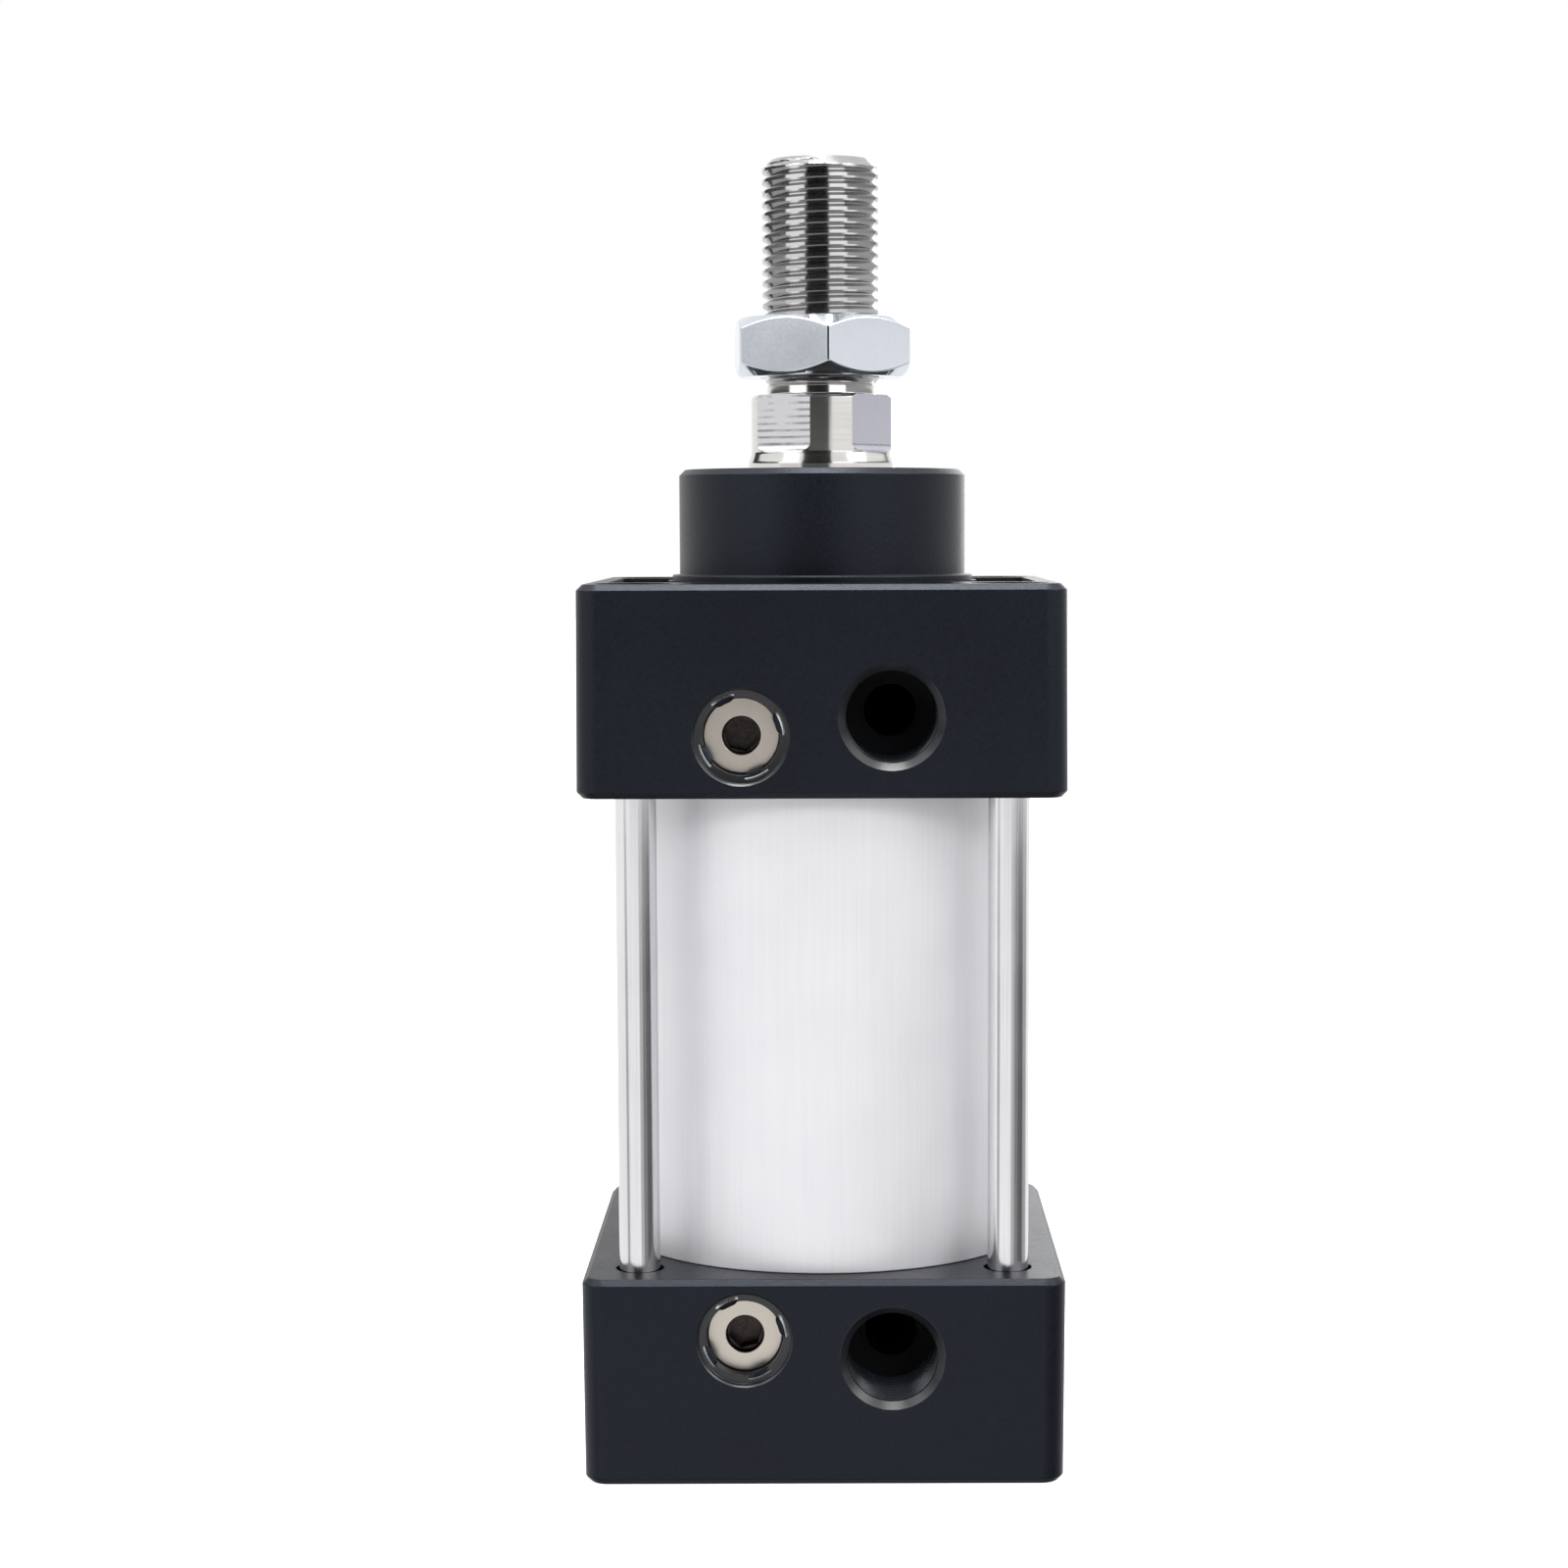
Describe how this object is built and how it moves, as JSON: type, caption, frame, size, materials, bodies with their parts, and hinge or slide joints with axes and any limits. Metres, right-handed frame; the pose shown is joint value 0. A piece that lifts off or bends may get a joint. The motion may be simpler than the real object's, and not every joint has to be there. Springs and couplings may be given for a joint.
{
  "type": "pneumatic cylinder",
  "caption": "Double-acting tie-rod air cylinder: square end covers with side ports and cushion screws, round barrel, threaded rod end with a thin lock nut.",
  "frame": {"origin": "middle of the rear cover's outer face, on the cylinder's axis", "axes": "+Z along the rod, out of the front cover; the air ports and cushion screws look along -Y"},
  "size_m": [0.0634, 0.0634, 0.1745],
  "materials": {
    "cover": "die-cast aluminium, bead blasted and anodised blue-black, satin",
    "barrel": "drawn aluminium tube, clear anodised, satin",
    "rod": "steel, ground and hard chromed, thread rolled",
    "nut": "steel, bright zinc plated",
    "tie_rod": "cold drawn steel, bright plated",
    "tie_nut": "steel, zinc plated",
    "screw": "brass, turned and nickel plated, satin",
    "seal_rubber": "nitrile rubber and polyurethane, black, matt",
    "bushing": "sintered bronze",
    "piston": "turned aluminium",
    "wear_ring": "filled PTFE strip",
    "magnet": "rubber bonded ferrite",
    "plunger": "turned steel"
  },
  "bodies": {
    "housing": {"barrel": "barrel", "front_barrel_o_ring": "seal_rubber", "front_cover": "cover", "front_cushion_seal": "seal_rubber", "front_tie_nut_1": "tie_nut", "front_tie_nut_2": "tie_nut", "front_tie_nut_3": "tie_nut", "front_tie_nut_4": "tie_nut", "rear_barrel_o_ring": "seal_rubber", "rear_cover": "cover", "rear_cushion_seal": "seal_rubber", "rear_tie_nut_1": "tie_nut", "rear_tie_nut_2": "tie_nut", "rear_tie_nut_3": "tie_nut", "rear_tie_nut_4": "tie_nut", "rod_bushing": "bushing", "rod_seal": "seal_rubber", "tie_rod_1": "tie_rod", "tie_rod_2": "tie_rod", "tie_rod_3": "tie_rod", "tie_rod_4": "tie_rod"},
    "piston_seals": {"rear_piston_seal": "seal_rubber", "front_piston_seal": "seal_rubber", "wear_ring": "wear_ring"},
    "rod": {"piston_rod": "rod", "piston_rear_half": "piston", "piston_front_half": "piston", "magnet_ring": "magnet", "front_plunger": "plunger", "rear_plunger": "plunger"},
    "rod_nut": {"rod_nut": "nut"},
    "front_screw_seal": {"front_screw_o_ring": "seal_rubber"},
    "front_screw": {"front_cushion_screw": "screw"},
    "rear_screw_seal": {"rear_screw_o_ring": "seal_rubber"},
    "rear_screw": {"rear_cushion_screw": "screw"}
  },
  "joints": [
    {"name": "rod_stroke", "type": "slide", "parent": "housing", "child": "piston_seals", "axis": [0, 0, 1], "range_m": [0, 0.025]},
    {"name": "rod_turn", "type": "hinge", "parent": "piston_seals", "child": "rod", "pos_m": [0, 0, 0.0465], "axis": [0, 0, 1], "continuous": true},
    {"name": "rod_nut_turn", "type": "hinge", "parent": "rod", "child": "rod_nut", "pos_m": [0, 0, 0.1494], "axis": [0, 0, 1], "continuous": true},
    {"name": "front_screw_travel", "type": "slide", "parent": "housing", "child": "front_screw_seal", "axis": [0, -1, 0], "range_m": [0, 0.00187]},
    {"name": "front_screw_turn", "type": "hinge", "parent": "front_screw_seal", "child": "front_screw", "pos_m": [-0.0104, -0.025, 0.0985], "axis": [0, -1, 0], "range_deg": [0, 900]},
    {"name": "rear_screw_travel", "type": "slide", "parent": "housing", "child": "rear_screw_seal", "axis": [0, -1, 0], "range_m": [0, 0.00187]},
    {"name": "rear_screw_turn", "type": "hinge", "parent": "rear_screw_seal", "child": "rear_screw", "pos_m": [-0.0104, -0.025, 0.0195], "axis": [0, -1, 0], "range_deg": [0, 900]}
  ],
  "couplings": [
    {"joint": "front_screw_turn", "follows": "front_screw_travel", "rad_per_m": 8377.6},
    {"joint": "rear_screw_turn", "follows": "rear_screw_travel", "rad_per_m": 8377.6}
  ]
}
